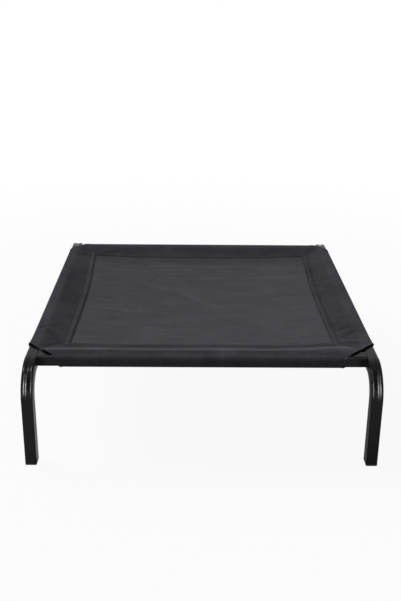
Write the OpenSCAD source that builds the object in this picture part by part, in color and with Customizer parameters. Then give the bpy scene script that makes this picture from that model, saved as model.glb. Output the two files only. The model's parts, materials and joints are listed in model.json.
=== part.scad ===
// Raised dog cot: two bent-tube leg frames, two crossbars bolted between them and a sewn sling,
// which is a mesh panel with a sleeve on each side that wraps its tube.
// Millimetres. The origin is on the floor in the middle, +X to the right, +Y to the rear, +Z up.

/* [Frame] */
// Width over the two leg frames
frame_w = 610; // [450:5:900]
// Depth from the front of the front legs to the back of the rear legs
frame_d = 760; // [600:5:1300]
// Height of the top of the rails above the floor
frame_h = 180; // [150:1:300]
// Outer radius of the bend between a leg and its rail
bend_r = 60; // [50:1:90]
// Distance from the end of the bend to the face of the crossbar
bar_inset = 1; // [0.5:0.5:20]

/* [Tube] */
// Narrow side of the tube: the width of a leg frame and the height of a crossbar
tube_thin = 20; // [17:0.5:25]
// Wide side of the tube: the depth of a leg, the height of a rail and the depth of a crossbar
tube_wide = 25; // [23:0.5:32]
// Outer radius along the tube's edges
tube_edge = 3; // [2:0.5:5]
// Wall thickness of the tube
tube_wall = 1.2; // [0.8:0.1:2]

/* [Bolted joint] */
// Thread diameter of a bolt
bolt_d = 6; // [4:0.5:6]
// Length of a bolt under its head
bolt_len = 25; // [16:1:40]
// Diameter of a bolt head
head_d = 10.5; // [9:0.5:12]
// Height of a bolt head
head_h = 3.3; // [2.5:0.1:4]
// Width across the flats of the hex socket in a bolt head
socket_af = 4; // [2.5:0.5:5]
// Depth of the hex socket
socket_depth = 2; // [1:0.1:2.4]
// Outer diameter of a flat washer
washer_d = 12; // [11:0.5:13]
// Thickness of a flat washer
washer_t = 1.6; // [1:0.1:2]
// Outer diameter of a spring washer
spring_d = 11; // [10:0.5:12]
// Thickness of a spring washer
spring_t = 1.6; // [1:0.1:2]
// Width of the split in a spring washer
spring_split = 1; // [0.5:0.1:1.5]
// Length of a threaded plug
plug_len = 28; // [20:1:40]

/* [Caps] */
// Width of the lip of a hole cap round its hole
cap_lip = 1.2; // [0.8:0.1:1.5]
// Height of a hole cap above the rail
cap_rise = 0.8; // [0.5:0.1:1.5]
// Length of a hole cap's stem inside the rail
cap_stem = 5; // [3:0.5:6]
// Wall thickness of the stems of the caps
stem_wall = 1.6; // [1:0.1:2]
// Thickness of a foot cap under the end of its leg
foot_t = 4; // [3:0.5:8]
// Chamfer round the underside of a foot cap
foot_chamfer = 1.5; // [0.5:0.1:2.5]
// Length of a foot cap's stem inside the leg
foot_stem = 16; // [10:1:30]

/* [Sling] */
// Width of a border sleeve, from the outer side of its tube to the edge of the mesh
band_w = 69; // [55:1:110]
// Width of the seam, where the mesh lies between the two layers of a sleeve
seam_w = 12; // [8:1:20]
// Depth of the seam below the top of the rails
seam_drop = 10; // [5:0.5:16]
// Sag of the middle of the mesh below its seams
mesh_sag = 9; // [0:0.5:25]
// Thickness of the mesh
mesh_t = 0.9; // [0.6:0.1:1.5]
// Thickness of the sleeve cloth
cloth_t = 1.2; // [0.8:0.1:2]
// Distance of the corner cut of the sling inside the inner corner of the tubes, along the tubes
corner_gap = 5; // [2:0.5:25]

/* [Clearances] */
// Round a bolt in its hole and in its washers, on the radius
bolt_gap = 0.25; // [0.1:0.05:0.5]
// Between a bolt and the thread of its plug, on the radius
thread_gap = 0.05; // [0.02:0.01:0.1]
// Round the washers in the access hole, on the radius
access_gap = 0.4; // [0.2:0.1:0.8]
// Between a plug or a stem and the wall that holds it
push_gap = 0.1; // [0.05:0.05:0.2]
// Between a sleeve and its tube
cloth_gap = 0.2; // [0.1:0.05:0.3]
// Between the mesh and each layer of a sleeve in the seam
seam_gap = 0.05; // [0.02:0.01:0.1]

/* [Hidden] */
$fn = 48;
// Colours of powder-coated steel, zinc-plated steel, moulded plastic, sleeve cloth and mesh
steel_colour = "#1e1e20";
zinc_colour = "#a9abad";
plastic_colour = "#161617";
cloth_colour = "#35363b";
mesh_colour = "#47464b";
// Flat steps in each bend of a sleeve round its tube, and cells across the mesh each way
wrap_steps = 4;
mesh_cells = 18;
// Overshoot of a cutting shape past the face that it cuts
over = 1;
// Smallest radius drawn along an inner edge
least_edge = 0.2;

// Inner sizes of the tube
bore_thin = tube_thin - 2 * tube_wall;
bore_wide = tube_wide - 2 * tube_wall;
bore_edge = max(tube_edge - tube_wall, push_gap + least_edge);
// Crossbars: outer face, middle and length
bar_face = frame_d / 2 - bend_r - bar_inset;
bar_y = bar_face - tube_wide / 2;
bar_len = frame_w - 2 * tube_thin;
// Bolts: height of the axis, midway between the middles of the rail and of the crossbar, and the
// inside of the rail's inner wall, where the flat washer sits
bolt_z = frame_h - (tube_thin + tube_wide) / 4;
seat_x = frame_w / 2 - tube_thin + tube_wall;
head_seat = washer_t + spring_t;
access_d = washer_d + 2 * access_gap;
rail_side = tube_thin - tube_wall;
// Sling: height of the seam, half-openings of the mesh and the length of the corner cut
seam_z = frame_h - seam_drop;
mesh_x = frame_w / 2 - band_w;
mesh_y = bar_face - band_w;
corner_cut = tube_thin + tube_wide + corner_gap;

// The four corners: name, side (-1 left, 1 right) and end (-1 front, 1 rear)
CORNERS = [["front_left", -1, -1], ["front_right", 1, -1], ["rear_left", -1, 1], ["rear_right", 1, 1]];
CORNER_PIECES = ["threaded_plug", "bolt", "flat_washer", "spring_washer", "hole_cap", "foot_cap"];

// Shapes that repeat

// Rectangle with round corners, w by h, centred
module round_rect(w, h, r) {
    square([w - 2 * r, h], center = true);
    square([w, h - 2 * r], center = true);
    for (x = [-1, 1], y = [-1, 1])
        translate([x * (w / 2 - r), y * (h / 2 - r)]) circle(r);
}

// Section of the tube, with its wide side along X
module tube_section() {
    difference() {
        round_rect(tube_wide, tube_thin, tube_edge);
        round_rect(bore_wide, bore_thin, bore_edge);
    }
}

// Section that slides into the tube with the push-in clearance, with its wide side along X
module plug_section() {
    round_rect(bore_wide - 2 * push_gap, bore_thin - 2 * push_gap, bore_edge - push_gap);
}

// Carries a piece to a bolted joint: its Z axis is the bolt's, outwards from the washer's seat
module at_joint(side, end) {
    translate([side * seat_x, end * bar_y, bolt_z]) rotate([0, side * 90, 0]) children();
}

// Round washer with a hole for the bolt
module washer(d, t) {
    difference() {
        cylinder(d = d, h = t);
        translate([0, 0, -over]) cylinder(r = bolt_d / 2 + bolt_gap, h = t + 2 * over);
    }
}

// Frame

// One end of a leg frame: the leg, from the foot cap up, and the bend into the rail
module leg_and_bend() {
    translate([0, -(frame_d - tube_wide) / 2, foot_t])
        linear_extrude(frame_h - bend_r - foot_t) rotate(90) tube_section();
    translate([0, -frame_d / 2 + bend_r, frame_h - bend_r])
        rotate([0, 90, 0]) rotate([0, 0, 180])
            rotate_extrude(angle = 90) translate([bend_r - tube_wide / 2, 0]) tube_section();
}

// Bent tube with a bolt hole in its inner wall and an access hole in its outer wall at each joint
module leg_frame(side) {
    rail_len = frame_d - 2 * bend_r;
    color(steel_colour) difference() {
        translate([side * (frame_w - tube_thin) / 2, 0, 0]) {
            leg_and_bend();
            mirror([0, 1, 0]) leg_and_bend();
            translate([0, -rail_len / 2, frame_h - tube_wide / 2])
                rotate([-90, 0, 0]) linear_extrude(rail_len) rotate(90) tube_section();
        }
        for (end = [-1, 1]) at_joint(side, end) {
            translate([0, 0, -tube_wall - over])
                cylinder(r = bolt_d / 2 + bolt_gap, h = tube_wall + 2 * over);
            translate([0, 0, rail_side - tube_wall - over])
                cylinder(d = access_d, h = tube_wall + 2 * over);
        }
    }
}

// Straight tube that butts against the inner walls of both rails, its top level with theirs
module crossbar(end) {
    color(steel_colour) translate([-bar_len / 2, end * bar_y, frame_h - tube_thin / 2])
        rotate([90, 0, 90]) linear_extrude(bar_len) tube_section();
}

// Bolted joints

// Block in the end of a crossbar, flush with its end, with the bolt's thread bored through
module threaded_plug(side, end) {
    color(zinc_colour) difference() {
        translate([side * (bar_len - plug_len) / 2, end * bar_y, frame_h - tube_thin / 2])
            rotate([90, 0, 90]) linear_extrude(plug_len, center = true) plug_section();
        at_joint(side, end) translate([0, 0, -tube_wall - plug_len - over])
            cylinder(r = bolt_d / 2 + thread_gap, h = plug_len + 2 * over);
    }
}

// Button-head bolt with a hex socket; the head is a ball cap through the edge of its seat
module bolt(side, end) {
    ball_r = (pow(head_d / 2, 2) + pow(head_h, 2)) / (2 * head_h);
    color(zinc_colour) at_joint(side, end) translate([0, 0, head_seat]) {
        translate([0, 0, -bolt_len]) cylinder(d = bolt_d, h = bolt_len);
        difference() {
            intersection() {
                cylinder(d = head_d + over, h = head_h);
                translate([0, 0, head_h - ball_r]) sphere(ball_r);
            }
            translate([0, 0, head_h - socket_depth])
                cylinder(d = socket_af / cos(30), h = socket_depth + over, $fn = 6);
        }
    }
}

// Washer on the inside of the rail's inner wall
module flat_washer(side, end) {
    color(zinc_colour) at_joint(side, end) washer(washer_d, washer_t);
}

// Split washer between the flat washer and the bolt head, drawn closed
module spring_washer(side, end) {
    color(zinc_colour) at_joint(side, end) translate([0, 0, washer_t]) difference() {
        washer(spring_d, spring_t);
        translate([0, -spring_split / 2, -over]) cube([spring_d, spring_split, spring_t + 2 * over]);
    }
}

// Caps

// Low domed cap in the access hole: a lip on the rail's side and a hollow stem inside
module hole_cap(side, end) {
    lip_r = access_d / 2 + cap_lip;
    stem_r = access_d / 2 - push_gap;
    ball_r = (pow(lip_r, 2) + pow(cap_rise, 2)) / (2 * cap_rise);
    color(plastic_colour) at_joint(side, end) translate([0, 0, rail_side]) {
        intersection() {
            cylinder(r = lip_r + over, h = cap_rise);
            translate([0, 0, cap_rise - ball_r]) sphere(ball_r, $fn = 96);
        }
        difference() {
            translate([0, 0, -cap_stem]) cylinder(r = stem_r, h = cap_stem);
            translate([0, 0, -cap_stem - over]) cylinder(r = stem_r - stem_wall, h = cap_stem + over);
        }
    }
}

// Long prism whose section is w by foot_t with both lower corners chamfered
module chamfered_bar(w) {
    half = w / 2;
    rotate([90, 0, 0]) linear_extrude(tube_wide + tube_thin, center = true) polygon([
        [-half, foot_t], [-half, foot_chamfer], [-half + foot_chamfer, 0],
        [half - foot_chamfer, 0], [half, foot_chamfer], [half, foot_t]
    ]);
}

// Push-in foot: a chamfered sole flush with the tube and a hollow stem inside the leg
module foot_cap(side, end) {
    color(plastic_colour)
        translate([side * (frame_w - tube_thin) / 2, end * (frame_d - tube_wide) / 2, 0]) {
            intersection() {
                linear_extrude(foot_t) rotate(90) round_rect(tube_wide, tube_thin, tube_edge);
                chamfered_bar(tube_thin);
                rotate(90) chamfered_bar(tube_wide);
            }
            translate([0, 0, foot_t]) linear_extrude(foot_stem) rotate(90) difference() {
                plug_section();
                square([bore_wide - 2 * stem_wall, bore_thin - 2 * stem_wall], center = true);
            }
        }
}

// Sling

// Points of an arc about c with radius r, from angle a0 to angle a1
function arc(c, r, a0, a1) =
    [for (i = [0 : wrap_steps]) let (a = a0 + (a1 - a0) * i / wrap_steps) c + r * [cos(a), sin(a)]];

// Angle on the circle about c, radius r, at which a line to point p leaves it;
// turn is 1 where the line leaves over the top and -1 where it leaves underneath
function leave_angle(c, r, p, turn) =
    atan2(p[1] - c[1], p[0] - c[0]) + turn * acos(r / norm(p - c));

// Path of the cloth round a tube w wide and h high, at distance out from it and lift from the seam's
// middle: from the mesh edge over the top, round the outside and back underneath
function wrap_path(w, h, out, lift) =
    let (
        r = tube_edge + out,
        top = frame_h - tube_edge,
        low = frame_h - h + tube_edge,
        fold = band_w - seam_w,
        top_in = [w - tube_edge, top],
        low_in = [w - tube_edge, low],
        upper = [fold, seam_z + lift],
        lower = [fold, seam_z - lift]
    )
    concat(
        [[band_w, seam_z + lift], upper],
        arc(top_in, r, leave_angle(top_in, r, upper, 1), 90),
        arc([tube_edge, top], r, 90, 180),
        arc([tube_edge, low], r, 180, 270),
        arc(low_in, r, 270, 360 + leave_angle(low_in, r, lower, -1)),
        [lower, [band_w, seam_z - lift]]
    );

function reversed(points) = [for (i = [len(points) - 1 : -1 : 0]) points[i]];

// Sleeve on a tube w wide and h high, drawn along X with the tube's outer side on Y = 0.
// In plan it stops at the 45 degree corner cut and at the mitre with the next sleeve, which runs from
// the inner corner of the tubes to the seam. The crossing tube is cross_w wide, its outer side at reach.
module sleeve(w, h, reach, cross_w) {
    lift = mesh_t / 2 + seam_gap;
    outside = wrap_path(w, h, cloth_gap + cloth_t, lift + cloth_t);
    inside = wrap_path(w, h, cloth_gap, lift);
    fold = band_w - seam_w;
    cut = reach - corner_cut;
    tube_corner = [reach - cross_w, w];
    seam_corner = [reach - fold, fold];
    meet = corner_gap / (2 * fold - w - cross_w);
    plan = [
        [cut - tube_wide, -tube_wide],
        tube_corner + (seam_corner - tube_corner) * meet,
        seam_corner,
        [reach - band_w - over, band_w + over]
    ];
    color(cloth_colour) intersection() {
        rotate([90, 0, 90]) linear_extrude(2 * reach, center = true)
            polygon(concat(outside, reversed(inside)));
        linear_extrude(frame_h + tube_wide)
            polygon(concat(plan, [for (p = reversed(plan)) [-p[0], p[1]]]));
    }
}

// Sleeve round the front crossbar (end -1) or the rear one (end 1)
module end_sleeve(end) {
    rotate(end < 0 ? 0 : 180) translate([0, -bar_face, 0])
        sleeve(tube_wide, tube_thin, frame_w / 2, tube_thin);
}

// Sleeve round the left rail (side -1) or the right one (side 1)
module side_sleeve(side) {
    rotate(side * 90) translate([0, -frame_w / 2, 0])
        sleeve(tube_thin, tube_wide, bar_face, tube_wide);
}

// Depth of the mesh below its seams: a shallow bowl, level along the edges of its opening
function sag_at(x, y) =
    mesh_sag * max(0, 1 - pow(x / mesh_x, 2)) * max(0, 1 - pow(y / mesh_y, 2));

// Lines of the mesh grid across an opening of half-width half, with the seam's margin at both ends
function grid_lines(half) = concat(
    [-half - seam_w], [for (i = [0 : mesh_cells]) half * (2 * i / mesh_cells - 1)], [half + seam_w]
);

// Mesh panel: two sagged skins and the rim between them, in triangles
module mesh_panel() {
    xs = grid_lines(mesh_x);
    ys = grid_lines(mesh_y);
    n = len(xs);
    skin = n * n;
    points = [
        for (up = [0, 1]) for (y = ys) for (x = xs)
            [x, y, seam_z - sag_at(x, y) + (up - 0.5) * mesh_t]
    ];
    cells = [for (j = [0 : n - 2]) for (i = [0 : n - 2]) j * n + i];
    under = [for (k = cells) each [[k, k + 1, k + n], [k + 1, k + n + 1, k + n]]];
    over_top = [for (f = under) [f[0] + skin, f[2] + skin, f[1] + skin]];
    rim = concat(
        [for (i = [0 : n - 1]) i],
        [for (j = [1 : n - 1]) j * n + n - 1],
        [for (i = [n - 2 : -1 : 0]) skin - n + i],
        [for (j = [n - 2 : -1 : 1]) j * n]
    );
    edge = [
        for (k = [0 : len(rim) - 1]) let (a = rim[k], b = rim[(k + 1) % len(rim)])
            each [[a, a + skin, b], [b, a + skin, b + skin]]
    ];
    color(mesh_colour) polyhedron(points, concat(under, over_top, edge));
}

// The nodes

leg_frame(-1);  // left_leg_frame
leg_frame(1);  // right_leg_frame
crossbar(-1);  // front_crossbar
crossbar(1);  // rear_crossbar
mesh_panel();
end_sleeve(-1);  // front_sleeve
end_sleeve(1);  // rear_sleeve
side_sleeve(-1);  // left_sleeve
side_sleeve(1);  // right_sleeve
for (corner = CORNERS) {
    threaded_plug(corner[1], corner[2]);
    bolt(corner[1], corner[2]);
    flat_washer(corner[1], corner[2]);
    spring_washer(corner[1], corner[2]);
    hole_cap(corner[1], corner[2]);
    foot_cap(corner[1], corner[2]);
}
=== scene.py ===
"""Looks of a raised dog cot: two bent-tube leg frames, two crossbars and a sewn sling stretched over them.

Metres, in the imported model's frame: the origin is on the floor in the middle of the cot, +X to the right,
+Y from the front to the rear, +Z up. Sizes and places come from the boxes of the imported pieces.
"""
import json
import math
from dataclasses import dataclass

import bpy
import numpy as np
from mathutils import Matrix, Vector


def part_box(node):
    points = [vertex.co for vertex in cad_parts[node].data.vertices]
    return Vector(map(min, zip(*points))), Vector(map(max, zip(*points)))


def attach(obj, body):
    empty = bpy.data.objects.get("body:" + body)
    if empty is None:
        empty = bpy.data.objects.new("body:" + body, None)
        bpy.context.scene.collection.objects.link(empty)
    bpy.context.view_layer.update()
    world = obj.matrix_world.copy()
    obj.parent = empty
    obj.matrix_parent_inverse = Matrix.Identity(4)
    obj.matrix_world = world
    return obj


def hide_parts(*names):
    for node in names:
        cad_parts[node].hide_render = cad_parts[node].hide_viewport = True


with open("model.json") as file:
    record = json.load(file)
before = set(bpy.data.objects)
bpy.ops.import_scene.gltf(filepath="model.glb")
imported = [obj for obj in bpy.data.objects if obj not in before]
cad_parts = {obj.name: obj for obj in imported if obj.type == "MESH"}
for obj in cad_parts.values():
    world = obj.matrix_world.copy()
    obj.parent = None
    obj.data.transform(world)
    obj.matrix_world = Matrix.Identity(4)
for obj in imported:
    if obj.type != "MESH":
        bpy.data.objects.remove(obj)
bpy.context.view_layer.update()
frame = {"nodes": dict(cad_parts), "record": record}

MM = 0.001

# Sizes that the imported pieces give

leg_low, leg_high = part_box("left_leg_frame")
bar_low, bar_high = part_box("front_crossbar")
mesh_low, mesh_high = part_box("mesh_panel")
# Half of the frame's width and depth, the heights of the rails' top and of the tubes' lower ends, the tube's
# narrow and wide sides, and a crossbar's outer face and end, both from the middle
HALF_W = -leg_low.x
HALF_D = leg_high.y
TOP = leg_high.z
FOOT = leg_low.z
THIN = leg_high.x - leg_low.x
WIDE = bar_high.y - bar_low.y
BAR_FACE = -bar_low.y
BAR_END = bar_high.x

# Sizes of the tube and the sling that no box gives

# Outer radius of the tube's edges, its wall, and the outer radius of its bends
TUBE_EDGE = 3 * MM
TUBE_WALL = 1.2 * MM
BEND_R = 60 * MM
# Thickness of the cloth and its gap to the tube, thickness of the mesh and its gap to the cloth
CLOTH_T = 1.2 * MM
CLOTH_GAP = 0.2 * MM
MESH_T = 0.9 * MM
SEAM_GAP = 0.05 * MM
# Width of a seam, and how deep the mesh hangs in its middle
SEAM_W = 12 * MM
MESH_SAG = 9 * MM

# Fold where a border lies down on the mesh, and edge of the mesh's opening, inwards from a tube's outer side
FOLD = HALF_W - mesh_high.x
BAND = FOLD + SEAM_W
# Half of the opening along X and Y
MESH_X = HALF_W - BAND
MESH_Y = BAR_FACE - BAND
# Heights of the mesh's middle layer in the seams, and of the cloth's outer sides above and below it
SEAM_Z = mesh_high.z - MESH_T / 2
SEAM_TOP = SEAM_Z + MESH_T / 2 + SEAM_GAP + CLOTH_T
SEAM_LOW = SEAM_Z - MESH_T / 2 - SEAM_GAP - CLOTH_T
# How far the cloth's outer side is off the tube, and its height on top of it
CLOTH_OUT = CLOTH_GAP + CLOTH_T
CLOTH_TOP = TOP + CLOTH_OUT


# Small formulas

def smooth_step(t):
    """0 below 0 and 1 above 1, with the S-curve 3t^2 - 2t^3 between."""
    t = np.clip(t, 0, 1)
    return t * t * (3 - 2 * t)


def bell(distance, width):
    """Bell curve: 1 in the middle, down to 1/e at one width from it."""
    return np.exp(-(distance / width) ** 2)


def arc(centre, radius, start, end, steps):
    """Points of an arc, from one angle to another in degrees, as two arrays."""
    angle = np.radians(np.linspace(start, end, steps + 1))
    return centre[0] + radius * np.cos(angle), centre[1] + radius * np.sin(angle)


# Grid meshes

# Edges that turn by more than this are drawn sharp
SHARP_EDGE = math.radians(40)


def grid_quads(rows, columns, wrap_rows=False, wrap_columns=False):
    """Quads between neighbouring points of a grid; a wrapped side joins its last line to its first.

    A face points along (step to the next row) x (step to the next column).
    """
    row = np.arange(rows if wrap_rows else rows - 1)[:, None]
    column = np.arange(columns if wrap_columns else columns - 1)[None, :]
    next_row = (row + 1) % rows
    next_column = (column + 1) % columns
    corners = np.broadcast_arrays(
        row * columns + column, next_row * columns + column,
        next_row * columns + next_column, row * columns + next_column,
    )
    return np.stack(corners, axis=-1).reshape(-1, 4)


def new_piece(name, points, quads, material, uv=None, tone=None):
    """Puts points and quads into a mesh object that is smooth up to SHARP_EDGE and rides on the cot.

    uv is a point's place on the cloth in metres, and tone how much its colour is scaled there by painted
    highlights and painted shade, and on the tubes' tops partly by fading, 1 where it isn't.
    """
    mesh = bpy.data.meshes.new(name)
    mesh.from_pydata(points.reshape(-1, 3), [], quads)
    mesh.polygons.foreach_set("use_smooth", np.ones(len(mesh.polygons), dtype=bool))
    mesh.set_sharp_from_angle(angle=SHARP_EDGE)
    if uv is not None:
        corner = np.empty(len(mesh.loops), dtype=np.int32)
        mesh.loops.foreach_get("vertex_index", corner)
        mesh.uv_layers.new(name="weave").data.foreach_set("uv", uv.reshape(-1, 2)[corner].ravel())
    if tone is not None:
        mesh.attributes.new("tone", "FLOAT", "POINT").data.foreach_set("value", tone.ravel())
    mesh.materials.append(material)
    piece = bpy.data.objects.new(name, mesh)
    bpy.context.scene.collection.objects.link(piece)
    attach(piece, "root")
    return piece


def cloth_piece(name, outer, thickness, material, uv, tone):
    """Closed cloth: the grid outer, the same grid one thickness below it, and a rim round the four sides.

    Below is against the surface's own direction, (step along rows) x (step along columns). The thickness is
    one number or a grid of them.
    """
    rows, columns = outer.shape[:2]
    normal = np.cross(np.gradient(outer, axis=0), np.gradient(outer, axis=1))
    normal /= np.linalg.norm(normal, axis=-1, keepdims=True)
    inner = outer - np.asarray(thickness)[..., None] * normal
    face = grid_quads(rows, columns)
    skin = rows * columns
    index = np.arange(skin).reshape(rows, columns)
    rim = np.concatenate([index[:-1, 0], index[-1, :-1], index[:0:-1, -1], index[0, :0:-1]])
    ahead = np.roll(rim, -1)
    edge = np.stack([rim, rim + skin, ahead + skin, ahead], axis=-1)
    quads = np.concatenate([face, face[:, ::-1] + skin, edge])
    return new_piece(name, np.stack([outer, inner]), quads, material, np.stack([uv, uv]),
                     np.stack([tone, tone]))


# Materials

def linear(code):
    """Linear RGBA of an sRGB hex colour."""
    srgb = np.array([int(code[i:i + 2], 16) for i in (1, 3, 5)]) / 255
    low = srgb / 12.92
    high = ((srgb + 0.055) / 1.055) ** 2.4
    return (*np.where(srgb <= 0.04045, low, high).tolist(), 1.0)


def add_node(tree, kind, inputs=None, **settings):
    """Adds a node: settings are its properties, inputs its sockets' values or the sockets linked to them."""
    node = tree.nodes.new(kind)
    for key, value in settings.items():
        setattr(node, key, value)
    for key, value in (inputs or {}).items():
        if isinstance(value, bpy.types.NodeSocket):
            tree.links.new(value, node.inputs[key])
        else:
            node.inputs[key].default_value = value
    return node


def new_material(name, **sockets):
    """Material with a Principled shader whose sockets have these constant values."""
    material = bpy.data.materials.new(name)
    material.use_nodes = True
    tree = material.node_tree
    shader = tree.nodes["Principled BSDF"]
    for key, value in sockets.items():
        shader.inputs[key.replace("_", " ")].default_value = value
    return material, tree, shader


def wave_scale(pitch):
    """Scale of a Wave texture whose bands repeat every pitch: it has 20 radians of phase per unit."""
    return 2 * math.pi / (20 * pitch)


def noise(tree, place, size, detail):
    """Socket of a noise whose lumps are about one size wide."""
    node = add_node(tree, "ShaderNodeTexNoise", {"Vector": place, "Scale": 1 / size, "Detail": detail})
    return node.outputs["Fac"]


def two_tone(tree, share, dark, light):
    """Socket of a colour between two sRGB hex colours, by a share."""
    node = add_node(tree, "ShaderNodeMix", {
        "Factor": share, "A": linear(dark), "B": linear(light),
    }, data_type="RGBA")
    return node.outputs["Result"]


# Range in which most values of a noise lie
NOISE_LOW = 0.3
NOISE_HIGH = 0.7
# How many times longer than wide the thick stretches of a weft thread are
SLUB_STRETCH = 60


def powder_coated_steel():
    """Black polyester powder coat, sprayed dry and melted in an oven.

    It gives a semi-gloss black with a faint orange peel and soft, slightly uneven highlights.
    """
    peel = 2.5 * MM
    rub = 30 * MM
    material, tree, shader = new_material("powder_coated_steel", Specular_IOR_Level=0.25, IOR=1.5)
    place = add_node(tree, "ShaderNodeTexCoord").outputs["Object"]
    grain = noise(tree, place, peel, detail=2.0)
    wear = noise(tree, place, rub, detail=4.0)
    colour = two_tone(tree, wear, "#080809", "#101012")
    gloss = add_node(tree, "ShaderNodeMapRange", {
        "Value": wear, "From Min": NOISE_LOW, "From Max": NOISE_HIGH, "To Min": 0.2, "To Max": 0.27,
    })
    relief = add_node(tree, "ShaderNodeBump", {"Height": grain, "Strength": 0.04, "Distance": 0.15 * MM})
    tree.links.new(colour, shader.inputs["Base Color"])
    tree.links.new(gloss.outputs["Result"], shader.inputs["Roughness"])
    tree.links.new(relief.outputs["Normal"], shader.inputs["Normal"])
    return material


def woven_cloth(name, pitch, slub, weft, shadow, light, uneven, blotchy, depth, **sockets):
    """Plain weave on the UV map, in metres: the higher of a warp wave and a weft wave, pitch apart.

    shadow and light are the colours between and on the threads. Weft threads of uneven thickness show as
    streaks along U or V, slub wide and uneven strong, over a slow cloud of wear, blotchy strong. The piece's
    own tone scales the colour with painted highlights and painted shade, and lint lies on it as pale specks.
    """
    slub_length = SLUB_STRETCH * slub
    streak = (slub_length, slub, slub) if weft == "U" else (slub, slub_length, slub)
    cloud_size = 40 * MM
    lint_apart = 45 * MM
    lint_size = 1.4 * MM
    material, tree, shader = new_material(name, **sockets)
    coords = add_node(tree, "ShaderNodeTexCoord")
    place = coords.outputs["Object"]
    bands = [
        add_node(tree, "ShaderNodeTexWave", {"Vector": coords.outputs["UV"], "Scale": wave_scale(pitch)},
                 bands_direction=direction).outputs["Fac"]
        for direction in "XY"
    ]
    weave = add_node(tree, "ShaderNodeMath", {0: bands[0], 1: bands[1]}, operation="MAXIMUM")
    stretch = add_node(tree, "ShaderNodeMapping", {
        "Vector": coords.outputs["UV"], "Scale": [1 / size for size in streak],
    })
    streaks = noise(tree, stretch.outputs["Vector"], 1.0, detail=2.0)
    cloud = noise(tree, place, cloud_size, detail=3.0)
    level = add_node(tree, "ShaderNodeAttribute", attribute_name="tone").outputs["Fac"]
    for pattern, strength in ((streaks, uneven), (cloud, blotchy)):
        share = add_node(tree, "ShaderNodeMapRange", {
            "Value": pattern, "From Min": NOISE_LOW, "From Max": NOISE_HIGH,
            "To Min": 1 - strength, "To Max": 1 + strength,
        })
        level = add_node(tree, "ShaderNodeMath", {
            0: level, 1: share.outputs["Result"],
        }, operation="MULTIPLY").outputs["Value"]
    colour = two_tone(tree, weave.outputs["Value"], shadow, light)
    toned = add_node(tree, "ShaderNodeVectorMath", {0: colour, "Scale": level}, operation="SCALE")
    lint = add_node(tree, "ShaderNodeTexVoronoi", {"Vector": place, "Scale": 1 / lint_apart})
    speck = add_node(tree, "ShaderNodeMapRange", {
        "Value": lint.outputs["Distance"], "From Min": lint_size / lint_apart, "From Max": 0.0,
        "To Max": 0.8,
    })
    linted = add_node(tree, "ShaderNodeMix", {
        "Factor": speck.outputs["Result"], "A": toned.outputs["Vector"], "B": linear("#a8a8a8"),
    }, data_type="RGBA")
    relief = add_node(tree, "ShaderNodeBump", {
        "Height": weave.outputs["Value"], "Strength": 0.5, "Distance": depth,
    })
    tree.links.new(linted.outputs["Result"], shader.inputs["Base Color"])
    tree.links.new(relief.outputs["Normal"], shader.inputs["Normal"])
    return material


def coated_polyester():
    """Close plain weave of polyester with a thin coating: matt charcoal with fine ribs.

    Its threads are 0.5 mm apart. They are drawn 3.2 mm apart, so that the weave shows.
    """
    return woven_cloth(
        "coated_polyester_weave", pitch=3.2 * MM, slub=2 * MM, weft="V", shadow="#28282c", light="#3b3b40",
        uneven=0.06, blotchy=0.14, depth=0.2 * MM, Roughness=0.75, Specular_IOR_Level=0.02)


def coated_mesh():
    """Open weave of coated polyester yarn: greyer than the border, with a low sheen and uneven weft.

    Its yarns are 1 mm apart. They are drawn 3.6 mm apart, so that the weave shows.
    """
    return woven_cloth(
        "coated_yarn_mesh", pitch=3.6 * MM, slub=2 * MM, weft="U", shadow="#3a3a3f", light="#49494e",
        uneven=0.2, blotchy=0.06, depth=0.3 * MM, Roughness=0.75, Specular_IOR_Level=0.02)


def sewing_thread():
    """Bonded nylon thread, twisted and waxed: near black, with a fine twist and a low gloss."""
    twist = 0.8 * MM
    material, tree, shader = new_material("bonded_sewing_thread", Roughness=0.6, Specular_IOR_Level=0.3)
    place = add_node(tree, "ShaderNodeTexCoord").outputs["Object"]
    ply = add_node(tree, "ShaderNodeTexWave", {"Vector": place, "Scale": wave_scale(twist)},
                   bands_direction="DIAGONAL")
    colour = two_tone(tree, ply.outputs["Fac"], "#1e1e21", "#2e2e32")
    tree.links.new(colour, shader.inputs["Base Color"])
    return material


def moulded_plastic():
    """Polyethylene caps from a spark-eroded mould: black, with a fine even grain that spreads the gloss."""
    grain_size = 0.9 * MM
    material, tree, shader = new_material("moulded_polyethylene", Specular_IOR_Level=0.3, IOR=1.5)
    place = add_node(tree, "ShaderNodeTexCoord").outputs["Object"]
    grain = noise(tree, place, grain_size, detail=2.0)
    colour = two_tone(tree, grain, "#101011", "#1a1a1b")
    gloss = add_node(tree, "ShaderNodeMapRange", {"Value": grain, "To Min": 0.45, "To Max": 0.6})
    relief = add_node(tree, "ShaderNodeBump", {"Height": grain, "Strength": 0.3, "Distance": 0.1 * MM})
    tree.links.new(colour, shader.inputs["Base Color"])
    tree.links.new(gloss.outputs["Result"], shader.inputs["Roughness"])
    tree.links.new(relief.outputs["Normal"], shader.inputs["Normal"])
    return material


def zinc_plate():
    """Bright zinc plate with a clear passivate on turned steel: pale grey with a soft cloudy gloss."""
    cloud = 3 * MM
    material, tree, shader = new_material("bright_zinc_plate", Metallic=1.0)
    place = add_node(tree, "ShaderNodeTexCoord").outputs["Object"]
    spread = noise(tree, place, cloud, detail=3.0)
    colour = two_tone(tree, spread, "#9a9da0", "#b8babd")
    gloss = add_node(tree, "ShaderNodeMapRange", {"Value": spread, "To Min": 0.25, "To Max": 0.45})
    tree.links.new(colour, shader.inputs["Base Color"])
    tree.links.new(gloss.outputs["Result"], shader.inputs["Roughness"])
    return material


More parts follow.
